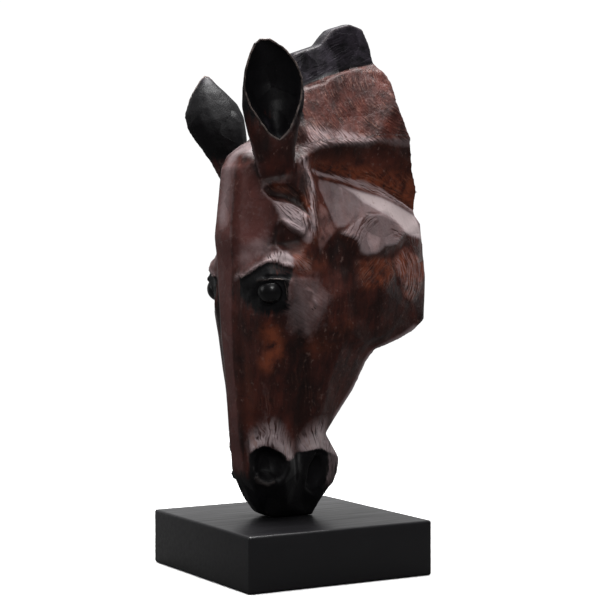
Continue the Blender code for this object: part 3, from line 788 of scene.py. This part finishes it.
# %% [markdown]
# The coats are laid over each other in the painter's order; some of them also carry painted light and shade.
# A coat has a colour, and its share is the product of the readings and layers beside it. Each relief is
# bump: a height, its strength, and the depth in millimetres that a height of 1 stands for. Wax makes the
# gloss uneven, and the black is duller.

# %% Resin paint: the coats, the relief and the gloss
COATS = [
    ("umber cloud", "#47221c", [share["cloud"]]),
    ("red-brown streaks", "#5c2a20", [share["light streak"]]),
    ("dark streaks", "#190b09", [share["dark streak"]]),
    # Pale paint that is also painted light: from the front left on the face, and rim light under the jaw
    ("pale strip of the face and painted light", "#603835", [layer["strip"], share["strip cloud"]]),
    ("rust", "#7e3f28", [layer["rust"], share["rust patch"]]),
    # A dark wash that is also painted shade in the hollows and grooves
    ("dark wash and painted shade", "#120807", [wash_and_shade, share["wash and shade patch"]]),
    # Dry-brushed grey, and painted highlights where the grey layer holds painted light
    ("dry-brushed grey and painted highlights", "#a49294", [catch, hairs]),
    # Almost white where the grey is strongest, which includes the painted highlights on the lip, under the
    # jaw and at the bright end of the cheek
    ("second grey, almost white", "#cfc0bf", [share["white"], share["dry"], hairs]),
    ("single light hairs", "#7c5446", [share["light hair"], pressed]),
    ("flecks", "#80665f", [share["touch"], share["press"]]),
    ("dark lines between the hairs", "#1f0f0c", [share["dark line"], pressed]),
    ("black", "#0d0c0e", [ragged]),
    # Dust on the mane, and a painted sheen on the ears
    ("dust and painted sheen on the black", "#37313a", [share["dust and sheen patch"], layer["dust_and_sheen"]]),
    ("worn edges of the black", "#5d524f", [share["worn"], layer["black"]]),
]
base = colour("#26110f")
for _, tone, factors in COATS:
    cover = factors[0]
    for factor in factors[1:]:
        cover = node(tree, "Math", {0: cover, 1: factor}, operation="MULTIPLY")
    base = node(tree, "Mix", {0: cover, 6: base, 7: colour(tone)}, data_type="RGBA")
# The flats are deeper where it is black
flat_depth = node(tree, "MapRange", {"Value": layer["black"], 3: 1, 4: 1.8})
flats = node(tree, "Math", {0: flats, 1: flat_depth}, operation="MULTIPLY")
scratches = node(tree, "Math", {0: scratch, 1: pressed}, operation="MULTIPLY")
RELIEF = [("knife flats", flats, 1.0, 160), ("scratches", scratches, 0.9, 1.6), ("grit", grit, 0.35, 0.6),
          ("brush marks", blotch, 0.4, 1.8)]
bump = None
for _, height, strength, depth in RELIEF:
    below = {"Normal": bump} if bump else {}
    bump = node(tree, "Bump", {"Strength": strength, "Distance": depth * MM, "Height": height, **below})
shader = node(tree, "BsdfPrincipled", {
    "Base Color": base, "Normal": bump, "IOR": 1.5,
    "Roughness": node(tree, "MapRange", {"Value": blotch, 1: 0.3, 2: 0.7, 3: 0.4, 4: 0.6}),
    "Specular IOR Level": node(tree, "MapRange", {"Value": layer["black"], 3: 0.22, 4: 0.14}),
})
node(tree, "OutputMaterial", {"Surface": shader})
head.data.materials.append(resin)
choose(head)
bpy.ops.object.shade_smooth()
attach(head, "root")
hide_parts("horse_head")
print("head painted:", len(tree.nodes), "nodes")

# %% [markdown]
# ## Thin raised edges
# The rims of the ears, the upper lid, the rear rim of the eye, two nicks behind it and the front of the brow
# are finer than the skin's squares. They are thin beads on the skin: round curves made a mesh.

# %% Beads
EAR_RIMS = [
    [(56, -43, 416), (59, -34, 426), (61, -29, 438), (63, -24, 455), (65, -24, 472), (66, -31, 488),
     (65, -42, 499), (64, -54, 506), (62.5, -63, 508.5), (59.5, -70, 504), (57, -75, 494), (54, -78, 480),
     (51, -78, 463), (51, -72, 447), (54, -62, 433), (55, -54, 422), (56, -43, 416)],
    [(-55, -40, 410), (-54, -32, 419), (-54, -29, 429), (-55, -27, 442), (-57, -29, 455), (-62, -39, 467),
     (-67, -47, 476), (-70, -52, 483), (-72, -56, 486), (-72, -61, 481), (-71, -68, 471), (-70, -75, 458),
     (-68, -80, 444), (-65, -72, 432), (-61, -60, 421), (-58, -50, 414), (-55, -41, 410)],
]
BOTH_SIDES = [
    (0.7, [(55, -61, 284.5), (58.5, -58, 285.6), (61, -54, 286.2), (62, -50, 286), (64.5, -45, 285.5),
        (65.5, -41, 285)]),
    (0.6, [(65, -44, 284), (64.8, -42.5, 279), (64, -40.5, 273), (63, -39.5, 269)]),
    (0.5, [(61.5, -12, 258), (61.5, -9.5, 255.8)]),
    (0.5, [(61.5, -10, 260), (61, -7, 257)]),
    (0.45, [(28, -70, 286), (36, -68, 290), (43, -66, 294)]),
]
EAR_RIM_SIZE, BEAD_STEP = 0.95, 1.5
beads = [(EAR_RIM_SIZE, rim) for rim in EAR_RIMS] + BOTH_SIDES
beads += [(size, [(-px, py, pz) for px, py, pz in line]) for size, line in BOTH_SIDES]


def finely(line, step):
    """Places along a line at even steps, with its corners rounded."""
    places = np.array(line, float)
    along = np.concatenate([[0], np.cumsum(np.linalg.norm(np.diff(places, axis=0), axis=1))])
    count = max(6, int(along[-1] / step))
    even = np.linspace(0, along[-1], count)
    fine = np.column_stack([np.interp(even, along, places[:, i]) for i in range(3)])
    for _ in range(4):
        fine[1:-1] = 0.5 * fine[1:-1] + 0.25 * (fine[:-2] + fine[2:])
    return fine


curve = bpy.data.curves.new("fine_edges", "CURVE")
curve.dimensions = "3D"
curve.bevel_depth = 1 * MM
curve.bevel_resolution = 2
curve.use_fill_caps = True
for size, line in beads:
    fine = finely(line, BEAD_STEP)
    spline = curve.splines.new("POLY")
    spline.points.add(len(fine) - 1)
    for i, (point, spot) in enumerate(zip(spline.points, fine)):
        _, on_skin, _, _ = head.closest_point_on_mesh(Vector(spot) * MM)
        point.co = (*on_skin, 1)
        # A bead runs out thin at both ends
        point.radius = size * min(1, 0.4 + 0.3 * min(i, len(fine) - 1 - i))
rims = bpy.data.objects.new("fine_edges", curve)
bpy.context.scene.collection.objects.link(rims)
choose(rims)
bpy.ops.object.convert(target="MESH")
bpy.ops.object.shade_smooth()
# Black paint over grey resin, rubbed off a rim in patches some 9 mm long. On the upper lid and the front of
# the brow the grey stands in for the light those edges catch: a painted highlight
worn_paint_and_highlight, tree = new_material("black_paint_worn_to_grey_and_painted_highlight")
where = node(tree, "TexCoord").outputs["Object"]
patchy = node(tree, "TexNoise", {"Vector": where, "Scale": 1000 / 9, "Detail": 4})
patchy = node(tree, "MapRange", {"Value": patchy, 1: 0.4, 2: 0.6})
tone = node(tree, "Mix", {0: patchy, 6: colour("#2e2725"), 7: colour("#6b5f5b")}, data_type="RGBA")
shader = node(tree, "BsdfPrincipled", {"Base Color": tone, "Roughness": 0.45, "Specular IOR Level": 0.3})
node(tree, "OutputMaterial", {"Surface": shader})
rims.data.materials.append(worn_paint_and_highlight)
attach(rims, "root")
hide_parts("horse_head")
print("beads", len(beads), "with", len(rims.data.polygons), "faces")

# %% [markdown]
# ## The eyes
# The eyeballs are smooth black balls under heavy lids, in gloss paint. On the casting they are one with the
# head; here they are balls of their own, so that they can be as smooth as they look.

# %% Eyeballs
EYE_RADIUS, EYE_PLACE = 12.2, (52, -51, 274.3)
gloss_black, tree = new_material("gloss_black_paint_on_resin")
shader = node(tree, "BsdfPrincipled", {
    "Base Color": colour("#080709"), "Roughness": 0.3, "IOR": 1.5, "Specular IOR Level": 0.3,
})
node(tree, "OutputMaterial", {"Surface": shader})
for side, name in ((1, "eye_left"), (-1, "eye_right")):
    choose(None)
    bpy.ops.mesh.primitive_uv_sphere_add(
        segments=48, ring_count=24, radius=EYE_RADIUS * MM,
        location=(side * EYE_PLACE[0] * MM, EYE_PLACE[1] * MM, EYE_PLACE[2] * MM),
    )
    eye = bpy.context.object
    eye.name = name
    bpy.ops.object.transform_apply(location=True, rotation=True, scale=True)
    bpy.ops.object.shade_smooth()
    eye.data.materials.append(gloss_black)
    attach(eye, "root")
    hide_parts("horse_head")
print("two eyeballs", round(2 * EYE_RADIUS, 1), "mm across")

# %% [markdown]
# ## The plinth
# A block of board, sprayed with satin black lacquer and rubbed out along one direction, which leaves faint
# streaks 4 mm apart in the gloss. A cube is scaled to the CAD node's box, and Bevel rounds its edges.

# %% Plinth block
EDGE_ROUNDING = 2.5
low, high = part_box("plinth")
choose(None)
bpy.ops.mesh.primitive_cube_add(size=1, location=(low + high) / 2, scale=high - low)
plinth = bpy.context.object
plinth.name = "plinth_block"
bpy.ops.object.transform_apply(location=True, rotation=True, scale=True)
rounded = plinth.modifiers.new("rounded edges", "BEVEL")
rounded.width = EDGE_ROUNDING * MM
rounded.segments = 5
settle(plinth)
bpy.ops.object.shade_smooth_by_angle(angle=math.radians(30))
# Lacquer is nearly black, with a thin haze of polish in clouds 50 mm wide
lacquer, tree = new_material("satin_black_lacquer_on_board")
where = node(tree, "TexCoord").outputs["Object"]
rubbed = node(tree, "Mapping", {"Vector": where, "Scale": (1, 0.05, 1)})
streak = node(tree, "TexNoise", {"Vector": rubbed, "Scale": 1000 / 4, "Detail": 5, "Roughness": 0.65})
haze = node(tree, "TexNoise", {"Vector": where, "Scale": 1000 / 50, "Detail": 3})
rough = node(tree, "MapRange", {"Value": streak, 1: 0.3, 2: 0.7, 3: 0.28, 4: 0.46})
tone = node(tree, "Mix", {0: haze, 6: colour("#0f0e11"), 7: colour("#171619")}, data_type="RGBA")
bump = node(tree, "Bump", {"Strength": 0.2, "Distance": 0.3 * MM, "Height": streak})
shader = node(tree, "BsdfPrincipled", {"Base Color": tone, "Roughness": rough, "Normal": bump, "IOR": 1.5})
node(tree, "OutputMaterial", {"Surface": shader})
plinth.data.materials.append(lacquer)
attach(plinth, "root")
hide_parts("plinth")
print("plinth", [round(c, 4) for c in plinth.dimensions])

# %% [markdown]
# ## Studio
# A white paper floor and a bright wall behind the object, as for a catalogue picture. The rest of the room
# is dim, so that the dark paint keeps its depth. One large soft light hangs overhead, and three weak ones
# fill in from the front left, from the rear and from above the camera.

# %% Floor
FLOOR_RADIUS, FLOOR_GAP = 1.3, 0.2
choose(None)
bpy.ops.mesh.primitive_circle_add(
    vertices=96, radius=FLOOR_RADIUS, fill_type="NGON", location=(0, 0, -FLOOR_GAP * MM),
)
floor = bpy.context.object
floor.name = "studio_floor"
paper, tree = new_material("matt_white_paper")
# The paper is white to look at, but it is kept from lighting the object from below, as black flags would do
seen = node(tree, "LightPath").outputs["Is Camera Ray"]
tone = node(tree, "Mix", {0: seen, 6: colour("#4c4c4c"), 7: colour("#f8f8f8")}, data_type="RGBA")
shader = node(tree, "BsdfDiffuse", {"Color": tone})
node(tree, "OutputMaterial", {"Surface": shader})
floor.data.materials.append(paper)
print("floor", [round(c, 2) for c in floor.dimensions])

# %% Surround and lights
world = bpy.data.worlds.new("studio_surround")
world.use_nodes = True
tree = world.node_tree
tree.nodes.clear()
# The wall behind the object lights it, and the rest of the room lights it less. All of it looks white
toward = node(tree, "TexCoord").outputs["Generated"]
wall_way = (-backwards.x, -backwards.y, 0)
facing = node(tree, "VectorMath", {0: toward, 1: wall_way}, operation="DOT_PRODUCT")
wall = node(tree, "MapRange", {"Value": facing, 1: 0.45, 2: 0.85, 3: 0.11, 4: 0.55},
            interpolation_type="SMOOTHSTEP")
seen = node(tree, "LightPath").outputs["Is Camera Ray"]
power = node(tree, "Mix", {0: seen, 2: wall, 3: 1.05})
sky = node(tree, "Background", {"Color": (1, 1, 1, 1), "Strength": power})
node(tree, "OutputWorld", {"Surface": sky})
bpy.context.scene.world = world


def softbox(name, place, size, watts, aim=(0, 0, 0.3)):
    """A square soft light that faces the middle of the object."""
    bpy.ops.object.light_add(type="AREA", location=place)
    lamp = bpy.context.object
    lamp.name = name
    lamp.data.size = size
    lamp.data.energy = watts
    lamp.rotation_euler = (Vector(aim) - Vector(place)).to_track_quat("-Z", "Y").to_euler()


softbox("softbox_overhead", (-0.14, 0.08, 1.6), 0.9, 68)
softbox("fill_from_the_left", (-0.7, -1.7, 0.9), 0.8, 5)
softbox("faint_light_from_the_rear", (-0.2, 1.6, 0.15), 0.6, 3)
softbox("small_light_over_the_camera", (1.15, -0.3, 1.05), 0.3, 7)
bpy.context.scene.view_settings.view_transform = "Standard"
